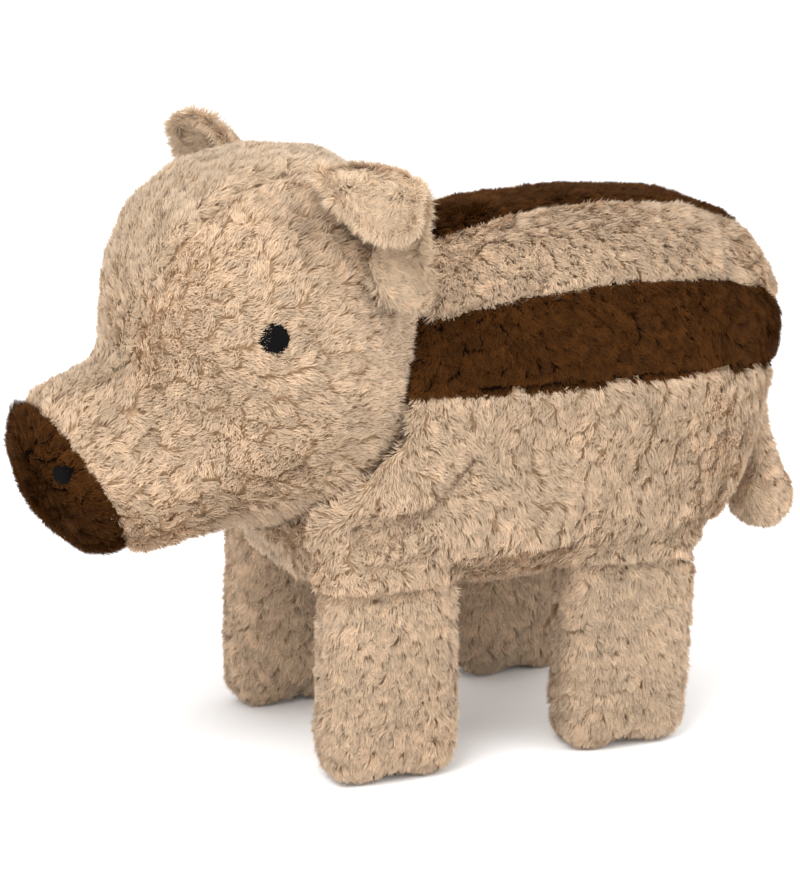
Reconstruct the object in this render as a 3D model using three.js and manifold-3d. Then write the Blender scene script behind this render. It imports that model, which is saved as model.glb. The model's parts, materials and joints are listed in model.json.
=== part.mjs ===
// A stuffed plush piglet, standing, as an assembly of plush panels and fillings.
// Millimetres, +Z up. The snout points along -Y and the piglet's left side is +X.
import * as THREE from "three";
import { mergeVertices } from "three/addons/utils/BufferGeometryUtils.js";
import Module from "manifold-3d";

const wasm = await Module();
wasm.setup();

// Cloth and clearances
const cover_thickness = 4;
const seam_gap = 0.3;
const seam_taper = 0.22;
const joint_gap = 0.3;
const filling_slack = 1.5;
const sweep_margin = 0.6;

// Trunk
const body_length = 276;
const body_width = 188;
const body_height = 180;
const spine_stripe_width = 50;
const spine_stripe_taper = 0.35;
const spine_reference_share = 0.42;
const flank_stripe_top = 52;
const flank_stripe_bottom = 82;
const flank_stripe_top_at_tail = 38;
const flank_stripe_bottom_at_tail = 76;
const flank_stripe_top_at_neck = 33;
const flank_stripe_bottom_at_neck = 53;
const belly_seam_angle = 141;
const chest_seam_opening = 3;
const tail_opening = 5;
const chest_reach = 96;

// Legs
const leg_clearance = 90;
const hip_rise = 10;
const front_hip_radius = 37;
const rear_hip_radius = 40;
const leg_thickness = 38;
const leg_inset = 12;
const foot_width = 73;
const foot_depth = 27;
const foot_squareness = 4;
const foot_point_crowding = 0.6;
const toe_dip = 1;
const toe_notch = 5;
const toe_notch_width = 30;
const sole_cut = 0.5;
const hip_spacing = 128;
const front_hip_reach = 54;
const front_foot_offset = -1;
const rear_foot_offset = -3;
const leg_swing_degrees = 20;

// Head
const head_radius = 86;
const head_centre_below_back = 55;
const head_centre_reach = 31;
const snout_reach = 129;
const snout_radius = 48;
const snout_flare_above = -0.2;
const snout_flare_below = 0.3;
const snout_axis_degrees = 32.5;
const snout_face_degrees = 28.8;
const snout_dome = 19;
const crown_bulge = 8;
const cheek_bulge = 14;
const bulge_spread = 30;
const nape_hollow = 9;
const nape_edge_degrees = [33, 64];
const snout_patch_depth = 5;
const gusset_widths = [4, 15, 33, 42, 38, 30];
const gusset_stations = [118, 86, 52, 22, -16, -100];
const gusset_tilt_degrees = 30;
const eye_diameter = 12;
const eye_bulge = 1.8;
const eye_out_degrees = 68;
const eye_up_degrees = 6;
const nostril_diameter = 8;
const nostril_offset = 34;
const nostril_rise = 9;
const nostril_bulge = 1.4;
const nod_down_degrees = 8;
const nod_up_degrees = 12;

// Ears
const ear_layer = 4;
const ear_base_width = 68;
const ear_widest = 76;
const ear_widest_share = 0.5;
const ear_seat_rise = -2.5;
const ear_forward_degrees = 22;
const ear_back_degrees = 20;
const ear_seat_depth = 14;
const left_ear_length = 84;
const left_ear_straight = 31;
const left_ear_fold_slant = 0.8;
const left_ear_bend_radius = 8;
const left_ear_bend_degrees = 128;
const right_ear_length = 60;
const right_ear_straight = 15;
const right_ear_fold_slant = 0;
const right_ear_bend_radius = 22;
const right_ear_bend_degrees = 75;
const ear_cup = 7;
const ear_tip_squareness = 4;
const ear_layer_squareness = 6;
const ear_edge_share = 0.12;
const ear_edge_trim = 0.995;

// Tail
const tail_length = 57;
const tail_root_radius = 6;
const tail_tip_radius = 19;
const tail_thickness = 26;
const tail_lean = 9;
const tail_stalk_share = 0.35;
const tail_stalk_swelling = 2;
const tail_drop_degrees = [50, -230];

// Positions that follow from the sizes above
const hip_z = leg_clearance + hip_rise;
const back_z = leg_clearance + body_height;
const leg_x = body_width / 2 - leg_inset - leg_thickness / 2;
const hip_front_y = -front_hip_reach;
const hip_rear_y = hip_front_y + hip_spacing;
const trunk_front_y = -chest_reach;
const head_centre_z = back_z - head_centre_below_back;
const head_centre = new THREE.Vector3(0, hip_front_y - head_centre_reach, head_centre_z);

const X_AXIS = new THREE.Vector3(1, 0, 0);
const degrees = THREE.MathUtils.degToRad;

// Shades seen in the photograph
const beige = new THREE.Color(0xc3a487);
const light_beige = new THREE.Color(0xcdb59c);
const dark_brown = new THREE.Color(0x482b14);
const black = new THREE.Color(0x0b0909);
const fibre_white = new THREE.Color(0xe9e4da);

function plush(color) {
  return new THREE.MeshStandardMaterial({ color, roughness: 0.95, metalness: 0 });
}

// A manifold solid from vertex positions and triangles, with zero-size triangles left out.
function solidFrom(points, triangles) {
  const positions = new Float32Array(points.flatMap((p) => [p.x, p.y, p.z]));
  const raw = new THREE.BufferGeometry();
  raw.setAttribute("position", new THREE.BufferAttribute(positions, 3));
  raw.setIndex(triangles.flat());
  const merged = mergeVertices(raw, 1e-4);
  const index = merged.index.array;
  const kept = [];
  for (let i = 0; i < index.length; i += 3) {
    const [a, b, c] = [index[i], index[i + 1], index[i + 2]];
    if (a !== b && b !== c && c !== a) kept.push(a, b, c);
  }
  const mesh = new wasm.Mesh({
    numProp: 3,
    vertProperties: merged.attributes.position.array,
    triVerts: new Uint32Array(kept),
  });
  const solid = new wasm.Manifold(mesh);
  if (solid.volume() > 0) return solid;
  for (let i = 0; i < kept.length; i += 3) [kept[i], kept[i + 1]] = [kept[i + 1], kept[i]];
  mesh.triVerts = new Uint32Array(kept);
  return new wasm.Manifold(mesh);
}

function solidFromGeometry(geometry) {
  const bare = geometry.clone();
  bare.deleteAttribute("normal");
  bare.deleteAttribute("uv");
  const merged = mergeVertices(bare, 1e-4);
  const position = merged.attributes.position;
  const points = [];
  for (let i = 0; i < position.count; i++) {
    points.push(new THREE.Vector3().fromBufferAttribute(position, i));
  }
  const triangles = [];
  for (let i = 0; i < merged.index.count; i += 3) {
    triangles.push([merged.index.getX(i), merged.index.getX(i + 1), merged.index.getX(i + 2)]);
  }
  return solidFrom(points, triangles);
}

function geometryOf(solid) {
  const made = solid.getMesh();
  const vertices = new Float32Array(made.numVert * 3);
  for (let i = 0; i < made.numVert; i++) {
    for (let k = 0; k < 3; k++) vertices[i * 3 + k] = made.vertProperties[i * made.numProp + k];
  }
  const geometry = new THREE.BufferGeometry();
  geometry.setAttribute("position", new THREE.BufferAttribute(vertices, 3));
  geometry.setIndex(new THREE.BufferAttribute(made.triVerts, 1));
  geometry.computeVertexNormals();
  return geometry;
}

// Triangles of a grid of rows by columns, whose first vertex is number start.
function gridTriangles(rows, columns, start, wrap, flip) {
  const triangles = [];
  const last = wrap ? columns : columns - 1;
  for (let i = 0; i < rows - 1; i++) {
    for (let j = 0; j < last; j++) {
      const next = (j + 1) % columns;
      const a = start + i * columns + j;
      const b = start + i * columns + next;
      const c = start + (i + 1) * columns + j;
      const d = start + (i + 1) * columns + next;
      triangles.push(flip ? [a, b, c] : [a, c, b]);
      triangles.push(flip ? [b, d, c] : [b, c, d]);
    }
  }
  return triangles;
}

// A closed surface of rings, each a loop of points, with its first and last ring filled.
function ringSolid(rings) {
  const columns = rings[0].length;
  const points = rings.flat();
  const triangles = gridTriangles(rings.length, columns, 0, true, false);
  [0, rings.length - 1].forEach((row, end) => {
    const centre = new THREE.Vector3();
    rings[row].forEach((p) => centre.addScaledVector(p, 1 / columns));
    const middle = points.push(centre) - 1;
    for (let j = 0; j < columns; j++) {
      const a = row * columns + j;
      const b = row * columns + ((j + 1) % columns);
      triangles.push(end === 0 ? [middle, a, b] : [middle, b, a]);
    }
  });
  return solidFrom(points, triangles);
}

// A sheet with thickness: two grids of the same shape joined along their four edges.
function sheetSolid(front, back) {
  const rows = front.length;
  const columns = front[0].length;
  const points = [...front.flat(), ...back.flat()];
  const offset = rows * columns;
  const triangles = [
    ...gridTriangles(rows, columns, 0, false, false),
    ...gridTriangles(rows, columns, offset, false, true),
  ];
  const edge = [];
  for (let j = 0; j < columns - 1; j++) edge.push(j);
  for (let i = 0; i < rows - 1; i++) edge.push(i * columns + columns - 1);
  for (let j = columns - 1; j > 0; j--) edge.push((rows - 1) * columns + j);
  for (let i = rows - 1; i > 0; i--) edge.push(i * columns);
  edge.forEach((a, k) => {
    const b = edge[(k + 1) % edge.length];
    triangles.push([a, b, offset + a], [b, offset + b, offset + a]);
  });
  return solidFrom(points, triangles);
}

// The point of a surface moved inward along its own normal.
function insetPoint(surface, u, v, depth) {
  const step = 1e-3;
  const point = surface(u, v);
  const along = surface(u + step, v).sub(surface(u - step, v));
  const across = surface(u, v + step).sub(surface(u, v - step));
  const normal = along.cross(across).normalize();
  return point.addScaledVector(normal, depth);
}

function range(count, from, to) {
  return Array.from({ length: count }, (_, i) => from + ((to - from) * i) / (count - 1));
}

// Trunk: sections from the chest to the tail, each with its ridge point, its belly point and its half width.
// A row gives the shares of the length and height for the ridge and the belly, and the share of the width.
const trunk_sections = [
  [0.08, 0.5, 0.035, 0.4, 0.18],
  [0.12, 0.75, 0.0, 0.17, 0.66],
  [0.18, 0.87, 0.015, 0.04, 0.8],
  [0.26, 0.94, 0.07, 0.01, 0.88],
  [0.37, 0.98, 0.19, 0.0, 0.95],
  [0.53, 1.0, 0.43, 0.0, 1.0],
  [0.71, 0.995, 0.63, 0.005, 0.97],
  [0.86, 0.955, 0.75, 0.03, 0.88],
  [0.95, 0.86, 0.83, 0.1, 0.71],
  [0.99, 0.73, 0.89, 0.2, 0.5],
  [1.0, 0.57, 0.945, 0.31, 0.27],
  [0.995, 0.46, 0.98, 0.4, 0.055],
];
const trunk_curve = (pick) => new THREE.CatmullRomCurve3(trunk_sections.map(pick));
const trunkSpot = (along, up) =>
  new THREE.Vector3(0, trunk_front_y + along * body_length, leg_clearance + up * body_height);
const ridge_curve = trunk_curve(([ridge_along, ridge_up]) => trunkSpot(ridge_along, ridge_up));
const belly_curve = trunk_curve(([, , belly_along, belly_up]) => trunkSpot(belly_along, belly_up));
const width_curve = trunk_curve(([, , , , width]) => new THREE.Vector3((width * body_width) / 2, 0, 0));

// How far down a section is widest, and its superellipse exponents, each at the chest and on the flank
const chest_widest_share = 0.7;
const flank_widest_share = 0.5;
const back_roundness = [1.9, 2.3];
const belly_roundness = [4.5, 6];

// A point of the trunk's skin. The station runs from the chest, 0, to the tail, 1; the angle is from the ridge.
function trunkPoint(station, angle) {
  const ridge = ridge_curve.getPoint(THREE.MathUtils.clamp(station, 0, 1));
  const belly = belly_curve.getPoint(THREE.MathUtils.clamp(station, 0, 1));
  const half_width = width_curve.getPoint(THREE.MathUtils.clamp(station, 0, 1)).x;
  const behind_neck = neckShare(station);
  const widest = THREE.MathUtils.lerp(chest_widest_share, flank_widest_share, behind_neck);
  const middle = ridge.clone().lerp(belly, widest);
  const cosine = Math.cos(angle);
  const reach = middle.distanceTo(cosine > 0 ? ridge : belly);
  const [at_chest, on_flank] = cosine > 0 ? back_roundness : belly_roundness;
  const square = THREE.MathUtils.lerp(at_chest, on_flank, behind_neck);
  const width_share = Math.abs(Math.sin(angle)) / half_width;
  const height_share = Math.abs(cosine) / reach;
  const radius = (width_share ** square + height_share ** square) ** (-1 / square);
  const upright = (cosine > 0 ? ridge : belly).clone().sub(middle).normalize();
  return middle
    .addScaledVector(X_AXIS, radius * Math.sin(angle))
    .addScaledVector(upright, radius * Math.abs(cosine));
}

const trunk_first = 0.02;
const trunk_last = 0.97;
const trunk_stations = range(11, trunk_first, trunk_last);

// How far a station is into the rump, from 0 on the flank to 1 at the tail
function rumpShare(station) {
  return THREE.MathUtils.smoothstep(station, 0.6, 1);
}

// How far a station is behind the neck, from 0 at the chest to 1 on the flank
function neckShare(station) {
  return THREE.MathUtils.smoothstep(station, 0.1, 0.5);
}

function spineEdge(station) {
  const half_width = Math.max(width_curve.getPoint(station).x, body_width * spine_reference_share);
  const narrowing = 1 - spine_stripe_taper * rumpShare(station);
  return Math.atan(spine_stripe_width / 2 / half_width) * narrowing;
}

// Columns of the panels, and of the filling from the spine round the left side, the belly and the right side
const strip_columns = 3;
const wide_columns = 5;
const filling_columns = [
  strip_columns,
  strip_columns,
  strip_columns,
  wide_columns,
  wide_columns,
  wide_columns,
  strip_columns,
  strip_columns,
];

// A seam's angle from the ridge, given in degrees at the neck, on the flank and at the tail
function stripeEdge(at_neck, on_flank, at_tail) {
  return (station) => {
    const flank = THREE.MathUtils.lerp(at_neck, on_flank, neckShare(station));
    return degrees(THREE.MathUtils.lerp(flank, at_tail, rumpShare(station)));
  };
}

const seam_angles = {
  spine: spineEdge,
  flank_top: stripeEdge(flank_stripe_top_at_neck, flank_stripe_top, flank_stripe_top_at_tail),
  flank_bottom: stripeEdge(flank_stripe_bottom_at_neck, flank_stripe_bottom, flank_stripe_bottom_at_tail),
  belly: () => degrees(belly_seam_angle),
};

// A panel of the trunk between two seams, given as angles from the ridge at each station
function trunkPanel(from, to, columns) {
  const grids = [0, cover_thickness].map((depth) =>
    trunk_stations.map((station) => {
      const half_width = width_curve.getPoint(station).x;
      const trim = (seam_gap / 2 + seam_taper * depth) / Math.max(half_width, tail_opening);
      return range(columns, from(station) + trim, to(station) - trim).map((angle) =>
        insetPoint(trunkPoint, station, angle, depth),
      );
    }),
  );
  return sheetSolid(grids[0], grids[1]);
}

// The filling, whose rings follow the panels' seams so that the gap under them stays even
function trunkFilling(depth) {
  const rings = trunk_stations.map((station) => {
    const left = Object.values(seam_angles).map((seam) => seam(station));
    const right = left.slice(1).reverse().map((angle) => 2 * Math.PI - angle);
    const seams = [-left[0], ...left, ...right, 2 * Math.PI - left[0]];
    const angles = seams.slice(1).flatMap((to, k) => range(filling_columns[k], seams[k], to).slice(0, -1));
    return angles.map((angle) => insetPoint(trunkPoint, station, angle, depth));
  });
  return ringSolid(rings);
}

// Head: a ball whose front swells out into the snout, measured from the ball's centre
function forwardAndDown(angle) {
  return new THREE.Vector3(0, -Math.cos(degrees(angle)), -Math.sin(degrees(angle)));
}
const snout_axis = forwardAndDown(snout_axis_degrees);
const snout_up = new THREE.Vector3().crossVectors(snout_axis, X_AXIS);
const face_normal = forwardAndDown(snout_face_degrees);

// The snout's rim and its crease with the skull, and the angles off its axis between which it fades out
const snout_edge_sharpness = 14;
const snout_crease_sharpness = 10;
const snout_fade_angles = [degrees(55), degrees(95)];
const snout_fade = 0.5;
const least_opening = 0.02;
const flare_change = [-0.7, 0.9];

const crown_direction = new THREE.Vector3(0.5, -0.55, 0.67).normalize();
const cheek_direction = new THREE.Vector3(0.6, 0.25, -0.76).normalize();
const nape_direction = new THREE.Vector3(0.4, 0.9, 0.1).normalize();

function mirrored(vector, side) {
  return new THREE.Vector3(vector.x * side, vector.y, vector.z);
}

function headDirection(off_axis, around) {
  return snout_axis
    .clone()
    .multiplyScalar(Math.cos(off_axis))
    .addScaledVector(X_AXIS, Math.sin(off_axis) * Math.sin(around))
    .addScaledVector(snout_up, Math.sin(off_axis) * Math.cos(around));
}

function headReach(off_axis, around) {
  const direction = headDirection(off_axis, around);
  const leaning = Math.min(off_axis, Math.PI / 2);
  const above = THREE.MathUtils.smoothstep(Math.cos(around), ...flare_change);
  const flare = THREE.MathUtils.lerp(snout_flare_below, snout_flare_above, above);
  const opening = Math.max(Math.sin(leaning) + flare * Math.cos(leaning), least_opening);
  const cone = (snout_radius + flare * snout_reach) / opening;
  const to_face = direction.dot(face_normal);
  const flat = snout_reach / Math.max(to_face, least_opening);
  const off_centre = Math.min((Math.tan(Math.min(off_axis, 1)) * snout_reach) / snout_radius, 1);
  const domed = flat + snout_dome * (1 - off_centre ** 2);
  const rim = (cone ** -snout_edge_sharpness + domed ** -snout_edge_sharpness) ** (-1 / snout_edge_sharpness);
  const fade = 1 - snout_fade * THREE.MathUtils.smoothstep(off_axis, ...snout_fade_angles);
  const apartFrom = (middle) => direction.angleTo(mirrored(middle, Math.sign(direction.x) || 1));
  const swelling = (middle, height) => height * Math.exp(-((apartFrom(middle) / degrees(bulge_spread)) ** 2));
  const nape_share = 1 - THREE.MathUtils.smoothstep(apartFrom(nape_direction), ...nape_edge_degrees.map(degrees));
  const skull =
    head_radius +
    swelling(crown_direction, crown_bulge) +
    swelling(cheek_direction, cheek_bulge) -
    nape_hollow * nape_share;
  const snout = rim * fade;
  return (snout ** snout_crease_sharpness + skull ** snout_crease_sharpness) ** (1 / snout_crease_sharpness);
}

function headPoint(off_axis, around) {
  return headDirection(off_axis, around).multiplyScalar(headReach(off_axis, around)).add(head_centre);
}

const head_rings = [4, 13, 19.5, 22, 25, 30, 41, 56, 74, 94, 115, 136, 157, 175];
const head_columns = 16;

function headSolid(depth, rings, columns) {
  const loops = rings.map((off_axis) =>
    range(columns + 1, 0, 2 * Math.PI)
      .slice(0, -1)
      .map((around) => insetPoint(headPoint, degrees(off_axis), around, depth)),
  );
  return ringSolid(loops);
}

const head_outer = headSolid(0, head_rings, head_columns);
const head_inner = headSolid(cover_thickness, head_rings, head_columns);
const head_filling = headSolid(cover_thickness + sweep_margin, head_rings, head_columns);
const head_shell = head_outer.subtract(head_inner);

// The half of a solid beyond a plane, given by its normal and its distance from the head's centre
function beyond(solid, normal, distance) {
  const level = normal.dot(head_centre) + distance;
  return solid.trimByPlane([normal.x, normal.y, normal.z], level);
}

const patch_level = snout_reach - snout_patch_depth;
const snout_patch = beyond(head_shell, face_normal, patch_level + seam_gap / 2);
const head_cover = beyond(head_shell, face_normal.clone().negate(), -patch_level + seam_gap / 2);

const gusset_edge_steps = 7;

// The forehead gusset's outline, seen from above the brow, as a prism through the top of the head
function gussetPrism(grow) {
  const outline = new THREE.Shape();
  const edge = gusset_stations.map((station, i) => new THREE.Vector2(gusset_widths[i] + grow, station));
  const side = new THREE.SplineCurve(edge).getPoints(gusset_edge_steps);
  outline.moveTo(-side[0].x, side[0].y);
  side.forEach((p) => outline.lineTo(p.x, p.y));
  side.reverse().forEach((p) => outline.lineTo(-p.x, p.y));
  const prism = new THREE.ExtrudeGeometry(outline, { depth: 2 * snout_reach, bevelEnabled: false });
  const tilt = degrees(gusset_tilt_degrees);
  const forward = new THREE.Vector3(0, -Math.cos(tilt), -Math.sin(tilt));
  const upward = new THREE.Vector3(0, -Math.sin(tilt), Math.cos(tilt));
  const placed = new THREE.Matrix4().makeBasis(X_AXIS.clone().negate(), forward, upward);
  placed.setPosition(head_centre);
  prism.applyMatrix4(placed);
  return solidFromGeometry(prism);
}

const forehead_gusset = head_cover.intersect(gussetPrism(-seam_gap / 2));
const head_cheeks = head_cover.subtract(gussetPrism(seam_gap / 2));

function half(solid, side) {
  return solid.trimByPlane([side, 0, 0], seam_gap / 2);
}

// Where a ray from the head's centre leaves the head, with the normal of the face it leaves through
function headSpot(direction) {
  const faces = geometryOf(head_outer).toNonIndexed().getAttribute("position");
  const ray = new THREE.Ray(head_centre, direction.clone().normalize());
  for (let i = 0; i < faces.count; i += 3) {
    const corners = [0, 1, 2].map((k) => new THREE.Vector3().fromBufferAttribute(faces, i + k));
    const point = ray.intersectTriangle(...corners, false, new THREE.Vector3());
    if (point) return { point, normal: new THREE.Triangle(...corners).getNormal(new THREE.Vector3()) };
  }
  throw new Error("the ray misses the head");
}

// An embroidered dot: the cap of a flat ball that lies on the cover
function embroideredDot(direction, diameter, bulge) {
  const { point, normal } = headSpot(direction);
  const ball = new THREE.SphereGeometry(diameter / 2, 8, 4);
  ball.scale(1, 1, (2 * (bulge + joint_gap)) / diameter);
  const facing = new THREE.Quaternion().setFromUnitVectors(new THREE.Vector3(0, 0, 1), normal);
  ball.applyMatrix4(new THREE.Matrix4().makeRotationFromQuaternion(facing).setPosition(point));
  const level = normal.dot(point) + joint_gap;
  return solidFromGeometry(ball).trimByPlane([normal.x, normal.y, normal.z], level);
}

function eye(side) {
  const out = degrees(eye_out_degrees);
  const up = degrees(eye_up_degrees);
  const ahead = Math.cos(out) * Math.cos(up);
  const direction = new THREE.Vector3(side * Math.sin(out) * Math.cos(up), -ahead, Math.sin(up));
  return embroideredDot(direction, eye_diameter, eye_bulge);
}

function nostril(side) {
  const direction = face_normal.clone().multiplyScalar(snout_reach);
  direction.addScaledVector(X_AXIS, side * nostril_offset).addScaledVector(snout_up, nostril_rise);
  return embroideredDot(direction, nostril_diameter, nostril_bulge);
}

// How far up an ear its cup starts and is full, and where its rings lie, as shares of the layer or the length
const ear_cup_shares = [0.05, 0.6];
const ear_root_shares = [-0.97, -0.6, 0];
const ear_ring_shares = [0.2, 0.38, 0.52, 0.66, 0.8, 0.92, 0.985];

// Ears: two layers on one bent and cupped sheet, rising from a round root that lies along the head
const left_ear_out = new THREE.Vector3(0.8, 0.27, 0.54).normalize();
const left_ear_rise = new THREE.Vector3(0.32, -0.06, 0.94).normalize();
const right_ear_out = new THREE.Vector3(-0.78, 0.17, 0.6).normalize();
const right_ear_rise = new THREE.Vector3(-0.72, 0.05, 0.69).normalize();
const ear_along = new THREE.Vector3(0.5, 0.55, -0.67).normalize();

function earFrame(side) {
  const out = side > 0 ? left_ear_out : right_ear_out;
  const rise = side > 0 ? left_ear_rise : right_ear_rise;
  const along = mirrored(ear_along, side).projectOnPlane(out).normalize();
  const front = new THREE.Vector3().crossVectors(along, rise).multiplyScalar(side).normalize();
  const root = head_centre.clone().addScaledVector(out, head_radius + ear_seat_rise);
  return { along, rise, front, root };
}

const ear_shapes = {
  left: {
    length: left_ear_length,
    straight: left_ear_straight,
    slant: left_ear_fold_slant,
    bend_radius: left_ear_bend_radius,
    bend: degrees(left_ear_bend_degrees),
  },
  right: {
    length: right_ear_length,
    straight: right_ear_straight,
    slant: right_ear_fold_slant,
    bend_radius: right_ear_bend_radius,
    bend: degrees(right_ear_bend_degrees),
  },
};

function earShape(side) {
  return side > 0 ? ear_shapes.left : ear_shapes.right;
}

// A point of an ear's middle sheet, which bends forward round a fold line that may slant from front to back
function earPoint(side, across, up) {
  const { along, rise, front, root } = earFrame(side);
  const { length, straight, slant, bend_radius, bend } = earShape(side);
  const share = THREE.MathUtils.clamp(up / length, 0, 1);
  const widening = Math.sin(Math.min(share / ear_widest_share, 1) * (Math.PI / 2));
  const widen = THREE.MathUtils.lerp(ear_base_width, ear_widest, widening);
  const half_width = (widen / 2) * Math.sqrt(Math.max(1 - share ** ear_tip_squareness, 0));
  const sideways = half_width * across;
  const slope = Math.hypot(1, slant);
  const risen = up + slant * sideways * THREE.MathUtils.clamp(up / straight, 0, 1);
  const past_fold = (risen - straight - slant * sideways) / slope;
  const turn = THREE.MathUtils.clamp(past_fold / bend_radius, 0, bend);
  const beyond_bend = Math.max(past_fold - bend * bend_radius, 0);
  const reach = Math.min(past_fold, 0) + bend_radius * Math.sin(turn) + beyond_bend * Math.cos(bend);
  const lifted = bend_radius * (1 - Math.cos(turn)) + beyond_bend * Math.sin(bend);
  const drawn_in = (reach - past_fold) / slope;
  const cup_share = THREE.MathUtils.smoothstep(share, ...ear_cup_shares);
  const cup = ear_cup * cup_share * ((2 * half_width * across) / ear_widest) ** 2;
  return root
    .addScaledVector(along, sideways - slant * drawn_in)
    .addScaledVector(rise, risen + drawn_in)
    .addScaledVector(front, lifted + cup);
}

// One layer of an ear, on the front or the back of the shared sheet
function earLayer(side, face) {
  const { length } = earShape(side);
  const root_steps = ear_root_shares.map((share) => share * ear_layer);
  const free_steps = ear_ring_shares.map((share) => share * length);
  const rise_steps = [...root_steps, ...free_steps];
  const surface = (up, across) => earPoint(side, across, up);
  const grids = [0, 1].map((layer) =>
    rise_steps.map((up) =>
      range(5, -1, 1).map((across) => {
        const root_round = up < 0 ? Math.sqrt(1 - (up / ear_layer) ** 2) : 1;
        const tip_round = Math.sqrt(Math.max(1 - (Math.max(up, 0) / length) ** ear_layer_squareness, 0));
        const side_round = Math.sqrt(Math.max(1 - across ** ear_layer_squareness, 0));
        const full = Math.max(root_round * tip_round * side_round, ear_edge_share);
        const depth = seam_gap / 2 + layer * (ear_layer - seam_gap / 2) * full;
        return insetPoint(surface, up, across * ear_edge_trim, depth * face * side);
      }),
    ),
  );
  return sheetSolid(grids[0], grids[1]);
}

// The groove along the head in which an ear's round root turns, flared for the ear's swing
function earGroove(side) {
  const { along, rise, front, root } = earFrame(side);
  const radius = ear_layer + joint_gap;
  const profile = new THREE.Shape();
  const mouth = (swing) => radius / Math.cos(degrees(swing)) + ear_seat_depth * Math.tan(degrees(swing));
  const arc_steps = 8;
  const rim = radius / Math.cos(Math.PI / (2 * arc_steps));
  profile.moveTo(mouth(ear_forward_degrees), ear_seat_depth);
  profile.lineTo(-mouth(ear_back_degrees), ear_seat_depth);
  for (const a of range(arc_steps + 1, Math.PI, 2 * Math.PI)) {
    profile.lineTo(rim * Math.cos(a), rim * Math.sin(a));
  }
  const length = ear_widest + 4 * joint_gap;
  const groove = new THREE.ExtrudeGeometry(profile, { depth: length, bevelEnabled: false });
  groove.translate(0, 0, -length / 2);
  const upright = rise.clone().projectOnPlane(along).normalize();
  const placed = new THREE.Matrix4().makeBasis(front, upright, along.clone().multiplyScalar(-side));
  groove.applyMatrix4(placed.setPosition(root));
  return solidFromGeometry(groove);
}

const ear_grooves = earGroove(1).add(earGroove(-1));

// Below 1, the sections of a pillow are fuller than an ellipse
const pillow_fullness = 0.75;

// A stuffed pillow in the plane across X: its rim follows the outline, and its middle line the spine
function pillowSolid(outline, spine, half_thickness, x, rings) {
  const steps = range(rings + 1, 0, Math.PI / 2);
  const loops = [];
  for (const side of [-1, 1]) {
    const ordered = side < 0 ? [...steps].reverse() : steps.slice(1);
    for (const step of ordered) {
      loops.push(
        outline.map((rim, i) => {
          const point = spine[i].clone().lerp(rim, Math.abs(Math.cos(step)) ** pillow_fullness);
          const swelling = half_thickness * Math.sin(step) ** pillow_fullness;
          return new THREE.Vector3(x + side * swelling, point.x, point.y);
        }),
      );
    }
  }
  const columns = outline.length;
  const triangles = gridTriangles(loops.length, columns, 0, true, false);
  return solidFrom(loops.flat(), triangles);
}

// Where the points on a leg's sides lie, as shares of the way from the hip to the foot
const leg_side_shares = [0.2, 0.6];

// A leg's outline: a round hip, tapering sides and two toes, drawn in by a depth
function legOutline({ hip_y, hip_radius, foot_offset }, depth) {
  const outline = [];
  const spine = [];
  const hip = new THREE.Vector2(hip_y, hip_z);
  const foot = new THREE.Vector2(hip_y + foot_offset, foot_depth);
  const radius = hip_radius - depth;
  const half_foot = foot_width / 2 - depth;
  const drop = foot_depth + sole_cut + toe_dip - depth;
  const put = (y, z, middle) => {
    outline.push(new THREE.Vector2(y, z));
    spine.push(middle);
  };
  range(6, Math.PI, 0).forEach((a) => put(hip.x + radius * Math.cos(a), hip.y + radius * Math.sin(a), hip));
  const waist = Math.min(radius, hip_radius * Math.cos(degrees(leg_swing_degrees)) - depth);
  const sidePoint = (share, side) => {
    const middle = hip.clone().lerp(foot, share);
    put(middle.x + side * THREE.MathUtils.lerp(waist, half_foot, share), middle.y, middle);
  };
  leg_side_shares.forEach((share) => sidePoint(share, 1));
  range(11, 0, Math.PI).forEach((a) => {
    const y = half_foot * Math.sign(Math.cos(a)) * Math.abs(Math.cos(a)) ** foot_point_crowding;
    const envelope = (1 - Math.abs(y / half_foot) ** foot_squareness) ** (1 / foot_squareness);
    const notch = toe_notch * Math.max(1 - ((2 * y) / toe_notch_width) ** 2, 0) ** 2;
    put(foot.x + y, foot.y - drop * envelope + notch, foot);
  });
  [...leg_side_shares].reverse().forEach((share) => sidePoint(share, -1));
  return { outline, spine };
}

function legSolid(leg, depth, rings) {
  const { outline, spine } = legOutline(leg, depth);
  return pillowSolid(outline, spine, leg_thickness / 2 - depth, leg.side * leg_x, rings);
}

const front_hip = { hip_y: hip_front_y, hip_radius: front_hip_radius, foot_offset: front_foot_offset };
const rear_hip = { hip_y: hip_rear_y, hip_radius: rear_hip_radius, foot_offset: rear_foot_offset };
const legs = [
  { name: "front_left", side: 1, ...front_hip },
  { name: "front_right", side: -1, ...front_hip },
  { name: "rear_left", side: 1, ...rear_hip },
  { name: "rear_right", side: -1, ...rear_hip },
];

function legPieces(leg) {
  const { name, side } = leg;
  const shell = legSolid(leg, 0, 3)
    .subtract(legSolid(leg, cover_thickness, 1))
    .trimByPlane([0, 0, 1], 0);
  const seam_x = side * leg_x;
  const outer = shell.trimByPlane([side, 0, 0], side * seam_x + seam_gap / 2);
  const inner = shell.trimByPlane([-side, 0, 0], -side * seam_x + seam_gap / 2);
  const filling = legSolid(leg, cover_thickness + joint_gap, 1);
  return [
    [`leg_${name}_outer`, outer, beige],
    [`leg_${name}_inner`, inner, beige],
    [`leg_${name}_stuffing`, filling, fibre_white],
  ];
}

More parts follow.
